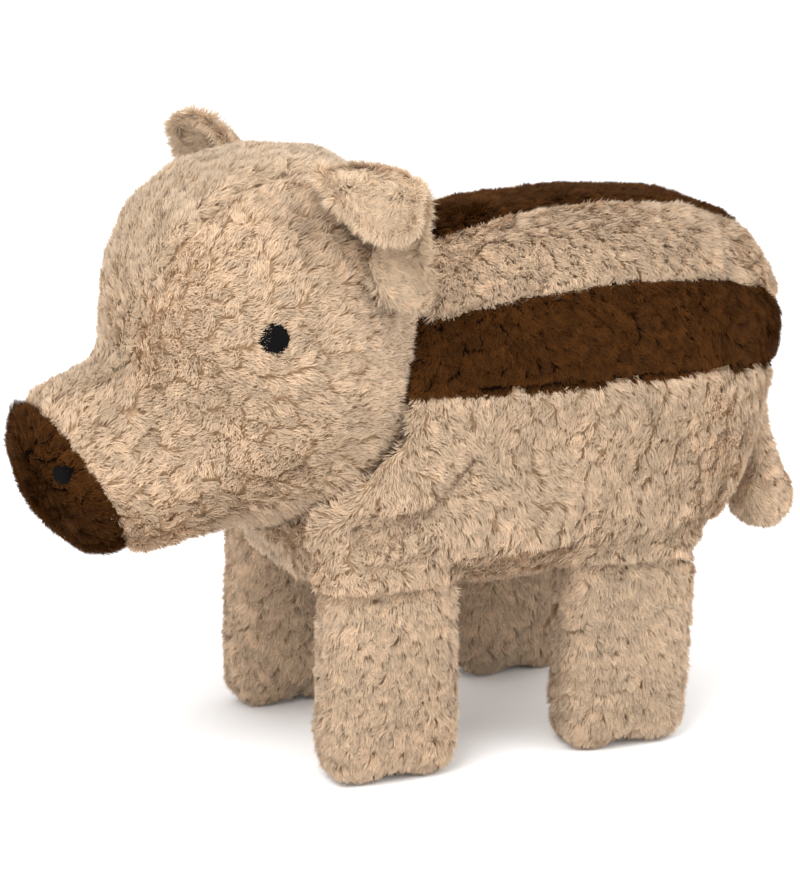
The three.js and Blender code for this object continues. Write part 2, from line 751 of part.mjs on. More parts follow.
// The hollow that a hip turns in: a round pocket about the hip's axis, with room below for the swing
function hipPocket({ side, hip_y, hip_radius }, around) {
  const radius = (hip_radius + sweep_margin) / Math.cos(Math.PI / around);
  const wide = leg_thickness + 2 * sweep_margin;
  const pocket = new THREE.CylinderGeometry(radius, radius, wide, around);
  pocket.rotateZ(Math.PI / 2);
  pocket.translate(side * leg_x, hip_y, hip_z);
  const room = new THREE.Shape();
  const half_top = hip_radius + sweep_margin;
  const half_bottom = half_top + hip_z * Math.tan(degrees(leg_swing_degrees));
  room.moveTo(-half_top, 0);
  room.lineTo(-half_bottom, -hip_z);
  room.lineTo(half_bottom, -hip_z);
  room.lineTo(half_top, 0);
  const wedge = new THREE.ExtrudeGeometry(room, { depth: wide, bevelEnabled: false });
  wedge.translate(0, 0, -wide / 2);
  const upright = new THREE.Matrix4().makeBasis(
    new THREE.Vector3(0, 1, 0),
    new THREE.Vector3(0, 0, 1),
    new THREE.Vector3(1, 0, 0),
  );
  wedge.applyMatrix4(upright.setPosition(side * leg_x, hip_y, hip_z));
  return solidFromGeometry(pocket).add(solidFromGeometry(wedge));
}

// The space that the head takes as it nods, which the trunk keeps clear of
function nodSpace(rings, columns, gap) {
  const nods = range(10, -nod_up_degrees, nod_down_degrees).map(degrees);
  const slack = 1 / Math.cos(Math.PI / columns) ** 2;
  const loops = rings.map((off_axis) =>
    range(columns + 1, 0, 2 * Math.PI)
      .slice(0, -1)
      .map((around) => {
        const direction = headDirection(degrees(off_axis), around);
        const reaches = nods.map((nod) => {
          const seen = direction.clone().applyAxisAngle(X_AXIS, -nod);
          return headReach(seen.angleTo(snout_axis), Math.atan2(seen.dot(X_AXIS), seen.dot(snout_up)));
        });
        const reach = Math.max(...reaches);
        const margin = gap + (reach > head_radius + joint_gap ? sweep_margin : 0);
        return direction.multiplyScalar(reach * slack + margin).add(head_centre);
      }),
  );
  return ringSolid(loops);
}

function hipPockets(around) {
  return legs.map((leg) => hipPocket(leg, around)).reduce((joined, pocket) => joined.add(pocket));
}

// The rings of the nod space, fine for the cloth and coarse for the filling, in degrees off the snout's axis
const fine_rings = [4, 25, ...range(12, 45, 174)];
const coarse_rings = [8, 35, 65, 95, 125, 150, 172];
const cover_hollows = nodSpace(fine_rings, 30, 0).add(hipPockets(14));
const filling_hollows = nodSpace(coarse_rings, 10, filling_slack).add(hipPockets(8));

function trunkCut(solid, hollows) {
  const pieces = solid.subtract(hollows).decompose();
  return pieces.reduce((largest, piece) => (piece.volume() > largest.volume() ? piece : largest));
}

const { spine, flank_top, flank_bottom, belly } = seam_angles;
const negated = (seam) => (station) => -seam(station);
const belly_edge = (station) => belly(station) + degrees(chest_seam_opening) * (1 - neckShare(station));

const trunk_pieces = [
  ["spine_stripe", trunkPanel(negated(spine), spine, strip_columns), dark_brown],
  ["back_band_left", trunkPanel(spine, flank_top, strip_columns), beige],
  ["back_band_right", trunkPanel(negated(flank_top), negated(spine), strip_columns), beige],
  ["flank_stripe_left", trunkPanel(flank_top, flank_bottom, strip_columns), dark_brown],
  ["flank_stripe_right", trunkPanel(negated(flank_bottom), negated(flank_top), strip_columns), dark_brown],
  ["side_panel_left", trunkPanel(flank_bottom, belly, wide_columns), beige],
  ["side_panel_right", trunkPanel(negated(belly), negated(flank_bottom), wide_columns), beige],
  ["belly_panel", trunkPanel(belly_edge, (s) => 2 * Math.PI - belly_edge(s), wide_columns), beige],
].map(([name, solid, color]) => [name, trunkCut(solid, cover_hollows), color]);

const body_filling = trunkCut(trunkFilling(cover_thickness + sweep_margin), filling_hollows);
trunk_pieces.push(["body_stuffing", body_filling, fibre_white]);

// Tail: a drop-shaped pillow that hangs from its root under the spine
const tail_side = trunkPoint(trunk_last, Math.PI);
const tail_axis_y = tail_side.y + tail_root_radius + joint_gap;
const tail_axis_z = tail_side.z;

function tailSolid(depth, rings) {
  const outline = [];
  const spine_line = [];
  const root = new THREE.Vector2(tail_axis_y, tail_axis_z);
  const tip = new THREE.Vector2(tail_axis_y + tail_lean, tail_axis_z - tail_length);
  const arc = (centre, radius, from, to, count) =>
    range(count, from, to).forEach((a) => {
      outline.push(new THREE.Vector2(centre.x + radius * Math.cos(a), centre.y + radius * Math.sin(a)));
      spine_line.push(centre);
    });
  const side = (share, sign) => {
    const middle = root.clone().lerp(tip, share);
    const radius = tail_root_radius + tail_stalk_swelling * share - depth;
    outline.push(new THREE.Vector2(middle.x + sign * radius, middle.y));
    spine_line.push(middle);
  };
  arc(root, tail_root_radius - depth, Math.PI, 0, 5);
  side(tail_stalk_share, 1);
  arc(tip, tail_tip_radius - depth, ...tail_drop_degrees.map(degrees), 11);
  side(tail_stalk_share, -1);
  return pillowSolid(outline, spine_line, tail_thickness / 2 - depth, 0, rings);
}

function tailPieces() {
  const thin = Math.min(cover_thickness, tail_root_radius / 2);
  const shell = tailSolid(0, 2).subtract(tailSolid(thin, 1));
  return [
    ["tail_left", half(shell, 1), beige],
    ["tail_right", half(shell, -1), beige],
    ["tail_stuffing", tailSolid(thin + joint_gap, 1), fibre_white],
  ];
}

const head_pieces = [
  ["head_side_left", half(head_cheeks, 1).subtract(ear_grooves), beige],
  ["head_side_right", half(head_cheeks, -1).subtract(ear_grooves), beige],
  ["forehead_gusset", forehead_gusset.subtract(ear_grooves), light_beige],
  ["snout_patch", snout_patch, dark_brown],
  ["head_stuffing", head_filling.subtract(ear_grooves), fibre_white],
  ["eye_left", eye(1), black],
  ["eye_right", eye(-1), black],
  ["nostril_left", nostril(1), black],
  ["nostril_right", nostril(-1), black],
];

const ear_pieces = [
  ["ear_left_inner", earLayer(1, -1), light_beige],
  ["ear_left_outer", earLayer(1, 1), light_beige],
  ["ear_right_inner", earLayer(-1, -1), light_beige],
  ["ear_right_outer", earLayer(-1, 1), light_beige],
];

const piglet = new THREE.Group();
const pieces = [...trunk_pieces, ...head_pieces, ...ear_pieces, ...legs.flatMap(legPieces), ...tailPieces()];
for (const [name, solid, color] of pieces) {
  const mesh = new THREE.Mesh(geometryOf(solid), plush(color));
  mesh.name = name;
  piglet.add(mesh);
}

// The origin lies under the middle of the whole piglet
const box = new THREE.Box3().setFromObject(piglet);
piglet.position.set(-(box.min.x + box.max.x) / 2, -(box.min.y + box.max.y) / 2, -box.min.z);

export default piglet;
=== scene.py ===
"""A stuffed plush piglet: skins, pile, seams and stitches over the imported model, in metres."""
import json
import math

import bmesh
import bpy
import numpy as np
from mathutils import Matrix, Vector
from mathutils.bvhtree import BVHTree
from mathutils.kdtree import KDTree


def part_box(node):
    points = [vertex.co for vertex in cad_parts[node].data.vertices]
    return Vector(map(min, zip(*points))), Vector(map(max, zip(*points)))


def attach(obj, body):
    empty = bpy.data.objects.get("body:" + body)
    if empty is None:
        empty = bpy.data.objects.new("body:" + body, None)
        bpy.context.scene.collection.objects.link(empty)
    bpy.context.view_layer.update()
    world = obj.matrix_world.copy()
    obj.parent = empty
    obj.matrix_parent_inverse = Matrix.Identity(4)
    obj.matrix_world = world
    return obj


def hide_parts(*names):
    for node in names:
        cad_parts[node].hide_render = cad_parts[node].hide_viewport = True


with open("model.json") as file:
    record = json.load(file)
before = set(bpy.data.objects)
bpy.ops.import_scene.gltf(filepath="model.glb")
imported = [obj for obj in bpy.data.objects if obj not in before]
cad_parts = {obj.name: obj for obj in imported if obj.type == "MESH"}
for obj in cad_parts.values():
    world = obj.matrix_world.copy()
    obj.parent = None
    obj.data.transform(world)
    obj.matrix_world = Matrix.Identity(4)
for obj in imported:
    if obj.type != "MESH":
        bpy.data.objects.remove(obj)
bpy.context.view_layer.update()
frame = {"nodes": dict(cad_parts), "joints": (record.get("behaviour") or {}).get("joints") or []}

MM = 0.001
tiny = 1e-12
weld_step = 0.01 * MM

# Camera
camera_azimuth = math.radians(66.4)
camera_elevation = math.radians(14.0)
camera_distance = 1.5
camera_aim = Vector((-11.3, -9.3, 146.6)) * MM
sensor_width = 36
pixels_high = 880
focal_pixels = 3000

# Forms: the size of the grid that each is made on, and how often it is smoothed
form_voxel = 3.0 * MM
ear_voxel = 1.8 * MM
tail_voxel = 2.2 * MM
filling_voxel = 5 * MM
leg_filling_voxel = 4 * MM
tail_filling_voxel = 1.6 * MM
trunk_rounds = 10
head_rounds = 8
usual_rounds = 6
ear_rounds = 5
tail_rounds = 4
tail_filling_rounds = 2
smoothing_steps = (0.5, -0.52)

# The trunk's cloth over the tops of the legs
leg_hem_height = 99 * MM
leg_cover = 2.6 * MM
hem_flare = 0.8 * MM
flare_height = 22 * MM

# The full lower ends of the ears
lobe_radii = (19 * MM, 14 * MM, 7 * MM)
lobe_place = (16 * MM, 7 * MM)
lobe_outward = (0.93, -0.2, 0.3)

# Skins: how far they are drawn in for the pile, at seams, at creases and beside other bodies
skin_inset = 2.8 * MM
ear_inset = 2.4 * MM
tail_inset = 2.6 * MM
close_inset = 0.3 * MM
close_reach = (3 * MM, 16 * MM)
seam_depth = 2.2 * MM
seam_width = 4.0 * MM
head_seams = 1.5
tail_seams = 0.6
crease_width = 4.5 * MM
crease_side = 30 * MM
close_crease = 0.4
chest_creases = [
    (6.0 * MM, [(-64, 124), (-48, 127), (-34, 136), (-15, 158)]),
    (-2.0 * MM, [(-50, 140), (-30, 156)]),
    (3.0 * MM, [(-66, 110), (-30, 114)]),
]
leg_creases = [(3.2 * MM, [(-200, 96), (200, 96)])]

# Pile: pairs are the lowest and highest of a random share, unless their name says otherwise
pile_height = 3.5 * MM
pile_reach = 4.8 * MM
pile_sink = 0.6 * MM
pile_bend = (0.66, 0.4)
fibre_width = 0.46 * MM
fibres_per_square_mm = 4.2
most_triangles = 190000
clump_spacing = 4.0 * MM
clump_pull = 0.28
brown_pull = 0.2
clump_turn = 0.4
clump_heights = (0.8, 1.1)
clump_lengths = (0.7, 1.2)
fibre_turn = 0.3
fibre_roll = 0.2
fibre_heights = (0.75, 1.35)
fibre_lengths = (0.75, 1.2)
fibre_widths = (0.7, 1.3)
stray_share = 0.1
stray_height = 1.25
stray_lean = 0.55
parting = 0.9
lean_across = 1.6
seam_trim = 0.3
close_trim = 0.15
longest_swing = 16 * MM
covered_height = 0.3
beside_gap = 1.6
beside_height = (0.75, 0.6)
floor_gap = 0.2 * MM
skin_uv_share = 0.2
uv_margin = 0.1
least_span = 1e-6
shade_along = 0.3
shade_spread = 0.2
noise_waves = 8
pile_seed = 11
ear_root_radius = 34 * MM
ear_pile = {
    "height": 3.4 * MM,
    "reach": 7 * MM,
    "width": 0.5 * MM,
    "density": 7,
    "part": -1.6,
    "pull": 0.25,
}

# Combing
wander_across = (1.0, 0.3, 0.2)
most_steps = 400
unreached = 1e3
back_half_width = 60 * MM
flank_seed = 3
flank_drift_scale = 22 * MM
sideways_drift = 0.25
backwards_drift = 0.9
backwards_lean = (0.95, -0.25)
steady_above = 0.6

# Filling
filling_gap = 2.5 * MM
lump_height = 1.2 * MM
lump_spacing = 9 * MM
lump_seed = 21

# Stitches
thread_sides = 6
eye_threads = 14
eye_turn = 1.3
nostril_threads = 10
nostril_turn = 0.4
eye_radius = 5.8 * MM
nostril_radius = 4 * MM
pile_clearance = 0.6 * MM
stitch_lengths = (0.94, 1.08)
stitch_end = 0.93
stitch_points = 13
shortest_stitch = 0.02
dot_share = 0.8
dot_dome = 1.9 * MM
dot_fall = 0.55
stitch_sunk = 3.2 * MM
stitch_thickness = 1.35
dot_sink = 0.4 * MM

# Loose ends of thread around each dot: how many to a stitch, and the course of each
loose_ends = 3
loose_points = 4
loose_thickness = 0.28 * MM
loose_from = 0.7
loose_to = (1.0, 1.22)
loose_turn = (-0.4, 0.4)
loose_bend = (-0.15, 0.15)
loose_start = 0.5
loose_stop = (-0.2, 0.2)

# Colours as they look in the photograph
beige_tip = (0.922, 0.827, 0.716)
# The root colours are darker than the tips: painted shade deep in the pile and in the gaps between
# clumps
beige_shaded_root = (0.80, 0.675, 0.535)
ear_tip = (0.90, 0.812, 0.703)
ear_shaded_root = (0.795, 0.68, 0.55)
brown_tip = (0.385, 0.235, 0.095)
brown_shaded_root = (0.14, 0.075, 0.03)
thread_black = (0.03, 0.025, 0.025)
light_through = 0.4
filling_white = (0.90, 0.88, 0.84)
beige_tufts = (0.76, 1.16)
light_tufts = (0.84, 1.1)
brown_tufts = (0.5, 1.4)
broad_patches = (22, 0.92, 1.08)
fine_patches = (260, 0.9, 1.1)
noise_middle = (0.3, 0.7)
ramp_reach = (0.1, 0.8)
pile_roughness = 0.85
beige_sheen = 0.15
light_sheen = 0.2
brown_sheen = 0.0
sheen_roughness = 0.5
fibre_gloss = 0.1
fibre_bump = 0.3 * MM
fibre_shadow = 0.75

# Light and floor
world_level = 1.3
key_light = {"place": (0.9, -1.1, 1.8), "size": 1.2, "power": 38}
fill_light = {"place": (1.2, 1.2, 1.0), "size": 1.5, "power": 11}
light_aim = (0, 0, 0.12)
floor_shade = 0.96
floor_roughness = 0.9
floor_half = 6


def linear(colour):
    """A colour as a screen shows it, as the shader wants it."""
    shades = [c / 12.92 if c <= 0.04045 else ((c + 0.055) / 1.055) ** 2.4 for c in colour]
    return (*shades, 1)


def link(thing):
    """An object put into the scene."""
    bpy.context.scene.collection.objects.link(thing)
    return thing


# Mesh arrays

def smoothstep(values, low, high):
    """0 below one value and 1 above another, with a smooth rise between them."""
    share = np.clip((values - low) / (high - low), 0, 1)
    return share * share * (3 - 2 * share)


def node_arrays(name):
    """The points and triangles of a CAD node."""
    mesh = frame["nodes"][name].data
    mesh.calc_loop_triangles()
    points = np.empty(len(mesh.vertices) * 3)
    mesh.vertices.foreach_get("co", points)
    faces = np.empty(len(mesh.loop_triangles) * 3, np.int32)
    mesh.loop_triangles.foreach_get("vertices", faces)
    return points.reshape(-1, 3), faces.reshape(-1, 3)


def mesh_from(name, points, faces):
    """A mesh with faces of one size, three or four corners each."""
    mesh = bpy.data.meshes.new(name)
    corners = faces.shape[1]
    mesh.vertices.add(len(points))
    mesh.vertices.foreach_set("co", points.astype(np.float32).ravel())
    mesh.loops.add(faces.size)
    mesh.loops.foreach_set("vertex_index", faces.astype(np.int32).ravel())
    mesh.polygons.add(len(faces))
    mesh.polygons.foreach_set("loop_start", np.arange(0, faces.size, corners, dtype=np.int32))
    mesh.update(calc_edges=True)
    return mesh


def joined(parts):
    """Several pairs of points and faces as one pair."""
    points, faces, start = [], [], 0
    for part_points, part_faces in parts:
        points.append(part_points)
        faces.append(part_faces + start)
        start += len(part_points)
    return np.vstack(points), np.vstack(faces)


def remeshed(points, faces, voxel):
    """The outer surface of overlapping solids as one even grid of quads."""
    source = link(bpy.data.objects.new("remesh_source", mesh_from("remesh_source", points, faces)))
    remesh = source.modifiers.new("remesh", "REMESH")
    remesh.mode = "VOXEL"
    remesh.voxel_size = voxel
    evaluated = source.evaluated_get(bpy.context.evaluated_depsgraph_get())
    made = bpy.data.meshes.new_from_object(evaluated)
    new_points = np.empty(len(made.vertices) * 3)
    made.vertices.foreach_get("co", new_points)
    quads = np.empty(len(made.polygons) * 4, np.int32)
    made.polygons.foreach_get("vertices", quads)
    bpy.data.objects.remove(source)
    bpy.data.meshes.remove(made)
    return largest_island(new_points.reshape(-1, 3), quads.reshape(-1, 4))


def largest_island(points, quads):
    """The biggest connected surface, without what floats inside it."""
    label = np.arange(len(points))
    while True:
        lowest = label[quads].min(axis=1)
        spread = label.copy()
        for corner in range(4):
            np.minimum.at(spread, quads[:, corner], lowest)
        spread = spread[spread]
        if np.array_equal(spread, label):
            break
        label = spread
    names, counts = np.unique(label, return_counts=True)
    kept = label == names[counts.argmax()]
    order = np.cumsum(kept) - 1
    return points[kept], order[quads[kept[quads[:, 0]]]]


def face_normals(points, quads):
    """Each quad's outward direction, with twice its area as the length."""
    across = points[quads[:, 2]] - points[quads[:, 0]]
    along = points[quads[:, 3]] - points[quads[:, 1]]
    return np.cross(across, along)


def unit(vectors):
    """The same directions with a length of one."""
    return vectors / np.maximum(np.linalg.norm(vectors, axis=1, keepdims=True), tiny)


def point_normals(points, quads):
    """The outward direction at each point, from the quads around it."""
    normals = np.zeros_like(points)
    per_face = face_normals(points, quads)
    for corner in range(4):
        np.add.at(normals, quads[:, corner], per_face)
    return unit(normals)


def smoothed(points, quads, rounds):
    """Smoothing that shrinks and swells in turn, so it rounds off facets and keeps the volume."""
    ends = np.vstack([quads[:, [0, 1]], quads[:, [1, 2]], quads[:, [2, 3]], quads[:, [3, 0]]])
    count = np.bincount(ends.ravel(), minlength=len(points))[:, None]
    for share in smoothing_steps * rounds:
        total = np.zeros_like(points)
        np.add.at(total, ends[:, 0], points[ends[:, 1]])
        np.add.at(total, ends[:, 1], points[ends[:, 0]])
        points = points + share * (total / count - points)
    return points


def tree_of(points, faces):
    return BVHTree.FromPolygons([Vector(p) for p in points], faces.tolist())


def node_tree(name):
    return tree_of(*node_arrays(name))


def distances(points, tree):
    """How far each point is from the nearest place on a surface."""
    return np.array([tree.find_nearest(Vector(p))[3] for p in points])


# Forms: each body's outer surface, smooth and closed

def grown(points, faces, amount_at):
    """A solid with its surface moved outwards, its doubled corners kept together."""
    rounded = np.round(points / weld_step).astype(np.int64)
    _, first, same = np.unique(rounded, axis=0, return_index=True, return_inverse=True)
    same = same.ravel()
    corner = same[faces]
    solid = points[first]
    normals = np.zeros_like(solid)
    first_side = solid[corner[:, 1]] - solid[corner[:, 0]]
    second_side = solid[corner[:, 2]] - solid[corner[:, 0]]
    per_face = np.cross(first_side, second_side)
    for k in range(3):
        np.add.at(normals, corner[:, k], per_face)
    return solid + unit(normals) * amount_at(solid)[:, None], corner


def form_of(nodes, voxel=form_voxel, extra=(), rounds=usual_rounds):
    """Some CAD nodes, and any extra solids, as one smooth surface."""
    points, faces = joined([node_arrays(n) for n in nodes] + list(extra))
    points, quads = remeshed(points, faces, voxel)
    return smoothed(points, quads, rounds), quads


legs = ["front_left", "front_right", "rear_left", "rear_right"]
trunk_panels = ["spine_stripe", "back_band_left", "back_band_right", "flank_stripe_left",
                "flank_stripe_right", "side_panel_left", "side_panel_right", "belly_panel"]
head_panels = ["head_side_left", "head_side_right", "forehead_gusset", "snout_patch"]


def leg_top(leg):
    """The part of a leg that the trunk's cloth is pulled over, a little larger than the leg."""
    def cover(places):
        flare_top = leg_hem_height + flare_height
        return leg_cover + hem_flare * (1 - smoothstep(places[:, 2], leg_hem_height, flare_top))

    panels = joined([node_arrays(f"leg_{leg}_{part}") for part in ("outer", "inner")])
    points, faces = joined([grown(*panels, cover), node_arrays(f"leg_{leg}_stuffing")])
    points[:, 2] = np.maximum(points[:, 2], leg_hem_height)
    return points, faces


leg_tops = [leg_top(leg) for leg in legs]
trunk_form = form_of(trunk_panels + ["body_stuffing"], extra=leg_tops, rounds=trunk_rounds)
head_form = form_of(head_panels + ["head_stuffing"], rounds=head_rounds)


def ear_lobe(joint):
    """The full lower end of an ear, a flat ball along the lower half of the ear's root."""
    ball = bmesh.new()
    bmesh.ops.create_icosphere(ball, subdivisions=3, radius=1)
    points = np.array([v.co for v in ball.verts])
    faces = np.array([[v.index for v in f.verts] for f in ball.faces])
    ball.free()
    along = unit(np.array([joint["axis"]]))[0]
    along *= -np.sign(along[2])
    out = np.array(lobe_outward)
    out[0] *= np.sign(joint["pos_m"][0])
    out = unit(np.array([out - along * (out @ along)]))[0]
    across = np.cross(out, along)
    length, width, depth = lobe_radii
    centre = np.array(joint["pos_m"]) + along * lobe_place[0] + out * lobe_place[1]
    return centre + points @ np.stack([along * length, across * width, out * depth]), faces


joint_named = {joint["name"]: joint for joint in frame["joints"]}
ear_joints = {side: joint_named[f"ear_{side}_fold"] for side in ("left", "right")}
ear_forms = {}
for side, joint in ear_joints.items():
    layers = [f"ear_{side}_outer", f"ear_{side}_inner"]
    ear_forms[side] = form_of(layers, ear_voxel, [ear_lobe(joint)], ear_rounds)
leg_forms = {}
for leg in legs:
    leg_forms[leg] = form_of([f"leg_{leg}_outer", f"leg_{leg}_inner", f"leg_{leg}_stuffing"])
tail_form = form_of(["tail_left", "tail_right", "tail_stuffing"], tail_voxel, rounds=tail_rounds)


# Skins: a form drawn in by the depth of the pile, with its seams pulled in

def panel_distances(points, panels):
    """How far each point is from each of some CAD nodes, one column a node."""
    return np.stack([distances(points, node_tree(p)) for p in panels], axis=1)


def slopes(points, quads, values):
    """The direction along each quad in which some values at the points rise fastest."""
    across = points[quads[:, 2]] - points[quads[:, 0]]
    along = points[quads[:, 3]] - points[quads[:, 1]]
    normal = unit(np.cross(across, along))
    rise_across = values[quads[:, 2]] - values[quads[:, 0]]
    rise_along = values[quads[:, 3]] - values[quads[:, 1]]
    return (np.cross(along, normal) * rise_across[:, None]
            + np.cross(normal, across) * rise_along[:, None])


def crease_depths(points, creases):
    """How far some points are drawn in at creases on both sides, given in mm in the side view."""
    depths = np.zeros(len(points))
    for depth, path in creases:
        away = np.full(len(points), 1.0)
        for start, end in zip(path, path[1:]):
            first = np.array(start) * MM
            step = np.array(end) * MM - first
            share = np.clip(((points[:, 1:] - first) @ step) / (step @ step), 0, 1)
            gap = np.linalg.norm(points[:, 1:] - first - share[:, None] * step, axis=1)
            away = np.minimum(away, gap)
        on_side = np.abs(points[:, 0]) > crease_side
        depths += depth * np.exp(-((away / crease_width) ** 2)) * on_side
    return depths


def skin_of(form, panels, inset, seams=1.0, close_to=(), creases=()):
    """A form drawn in by the depth of its pile, less beside other bodies and more at its seams."""
    points, quads = form
    apart = panel_distances(points, panels)
    ordered = np.sort(apart, axis=1)
    from_seam = ordered[:, 1] - ordered[:, 0]
    nearness = np.exp(-((from_seam / seam_width) ** 2))
    free = np.ones(len(points))
    for tree in close_to:
        free = np.minimum(free, smoothstep(distances(points, tree), *close_reach))
    normals = point_normals(points, quads)
    depth = close_inset + (inset - close_inset) * free + seams * seam_depth * nearness * free
    depth += crease_depths(points, creases) * (close_crease + (1 - close_crease) * free)
    drawn_in = smoothed(points - normals * depth[:, None], quads, 1)
    return {
        "points": drawn_in,
        "quads": quads,
        "normals": point_normals(drawn_in, quads),
        "seam": nearness,
        "free": free,
        "away": unit(slopes(drawn_in, quads, from_seam)),
        "panel": apart.argmin(axis=1),
    }


# Pile: bent fibres in small clumps, which stand on a skin and lean the way the cloth is combed

rng = np.random.default_rng(pile_seed)


def smooth_noise(points, scale, seed):
    """A soft random field from a few waves, between about -1 and 1."""
    waves = np.random.default_rng(seed)
    total = np.zeros(len(points))
    for _ in range(noise_waves):
        direction = waves.normal(size=3) / scale
        total += np.sin(points @ direction + waves.uniform(0, 2 * math.pi))
    return total / 3


def scatter(skin, faces, density):
    """Roots spread evenly over some of a skin's faces, with what the skin knows at each of them."""
    quads = skin["quads"][faces]
    corners = skin["points"][quads]
    area = np.linalg.norm(face_normals(skin["points"], quads), axis=1) / 2 / MM**2
    fibre_triangles = 2
    room = (most_triangles - 2 * len(quads)) / fibre_triangles
    density = min(density, room / max(area.sum(), 1))
    count = np.floor(area * density + rng.random(len(area))).astype(int)
    which = np.repeat(np.arange(len(quads)), count)
    u = rng.random(len(which))[:, None]
    v = rng.random(len(which))[:, None]
    weights = np.stack([(1 - u) * (1 - v), u * (1 - v), u * v, (1 - u) * v], axis=1)
    roots = (corners[which] * weights).sum(axis=1)
    normals = unit((skin["normals"][quads[which]] * weights).sum(axis=1))
    seam = (skin["seam"][quads[which]] * weights[:, :, 0]).sum(axis=1)
    free = (skin["free"][quads[which]] * weights[:, :, 0]).sum(axis=1)
    return roots, normals, seam, free, skin["away"][faces][which]


def pressed(roots, normals, height, neighbours):
    """How tall the pile may stand beside other bodies, which of it shows, and the way to them."""
    allowed = np.full(len(roots), height)
    kept = np.ones(len(roots), bool)
    nearest = np.zeros((len(roots), 3))
    for tree in neighbours:
        for i, root in enumerate(roots):
            place, _, _, gap = tree.find_nearest(Vector(root), longest_swing + height)
            if place is None:
                continue
            nearest[i] = place - Vector(root)
            outward = Vector(normals[i])
            cover, facing, _, _ = tree.ray_cast(Vector(root), outward)
            if cover is not None and facing.dot(outward) > 0:
                allowed[i] = min(allowed[i], covered_height * height)
                kept[i] &= gap < longest_swing
            elif gap < beside_gap * height:
                least = max(beside_height[0] * gap, beside_height[1] * height)
                allowed[i] = min(allowed[i], least)
    return allowed, kept, unit(nearest)


def clumped(roots):
    """Each root's clump: the number of the nearest of some roots picked as clump centres."""
    picked = rng.random(len(roots)) < 1 / (fibres_per_square_mm * (clump_spacing / MM) ** 2)
    centres = np.flatnonzero(picked)
    if not len(centres):
        centres = np.array([0])
    tree = KDTree(len(centres))
    for number, root in enumerate(roots[centres]):
        tree.insert(Vector(root), number)
    tree.balance()
    return centres, np.array([tree.find(Vector(root))[1] for root in roots])


def fibres(roots, normals, lean, height, reach, width, pull):
    """Bent, tapered fibres of four points and two triangles each, in clumps."""
    count = len(roots)
    centres, clump = clumped(roots)
    along = unit(lean - normals * (lean * normals).sum(axis=1, keepdims=True))
    side = np.cross(normals, along)
    turn = rng.normal(0, clump_turn, len(centres))[clump] + rng.normal(0, fibre_turn, count)
    turn = turn[:, None]
    along = unit(along * np.cos(turn) + side * np.sin(turn))
    stray = rng.random(count) < stray_share
    tall = rng.uniform(*clump_heights, len(centres))[clump] * rng.uniform(*fibre_heights, count)
    tall = (height * tall * np.where(stray, stray_height, 1))[:, None]
    long = rng.uniform(*clump_lengths, len(centres))[clump] * rng.uniform(*fibre_lengths, count)
    long = (reach * long * np.where(stray, stray_lean, 1))[:, None]
    inward = pull * (roots[centres][clump] - roots)
    inward -= normals * (inward * normals).sum(axis=1, keepdims=True)
    tip = roots + normals * tall + along * long + inward
    bend_height, bend_reach = pile_bend
    middle = roots + normals * tall * bend_height + along * long * bend_reach + bend_reach * inward
    base = roots - normals * pile_sink
    roll = rng.normal(0, fibre_roll, count)[:, None]
    across = unit(np.cross(tip - base, normals)) * np.cos(roll) + normals * np.sin(roll)
    half = width / 2 * rng.uniform(*fibre_widths, count)[:, None]
    points = np.stack([base, middle - across * half, middle + across * half, tip], axis=1)
    pattern = np.array([[0, 2, 1], [1, 2, 3]])
    triangles = (np.arange(count)[:, None, None] * 4 + pattern[None]).reshape(-1, 3)
    faced = np.cross(points[:, 2] - points[:, 0], points[:, 1] - points[:, 0])
    backward = np.flatnonzero((faced * normals).sum(axis=1) < 0)
    # Fibres that would face inwards are turned over
    points[backward] = points[backward][:, [0, 2, 1, 3]]
    shade = unit(normals + shade_along * along + shade_spread * rng.normal(0, 1, (count, 3)))
    share = np.broadcast_to(np.array([0.0, 0.5, 0.5, 1.0]), (count, 4))
    cell = np.broadcast_to(np.array([[0.5, 0], [0, 0.5], [1, 0.5], [0.5, 1]]), (count, 4, 2))
    tone = 0.5 * rng.random(len(centres))[clump] + 0.5 * rng.random(count)
    return {
        "mesh": (points.reshape(-1, 3), triangles),
        "normals": np.repeat(shade, 4, axis=0),
        "share": share.ravel(),
        "cell": cell,
        "tone": np.repeat(tone, 4),
    }


def baking_uv(patch_points, cells):
    """A cell for each fibre, and a strip above them for the patch of skin."""
    low, high = patch_points.min(axis=0), patch_points.max(axis=0)
    flat = (patch_points - low) / np.maximum(high - low, least_span)
    patch_uv = np.stack([flat[:, 1], (1 - skin_uv_share) + skin_uv_share * flat[:, 2]], axis=1)
    count = len(cells)
    side = max(math.ceil(math.sqrt(count / (1 - skin_uv_share))), 1)
    number = np.arange(count)
    cell = np.stack([number % side, number // side], axis=1)[:, None, :]
    fibre_uv = ((cell + uv_margin + (1 - 2 * uv_margin) * cells) / side).reshape(-1, 2)
    return np.vstack([patch_uv, np.clip(fibre_uv, 0, 1)])


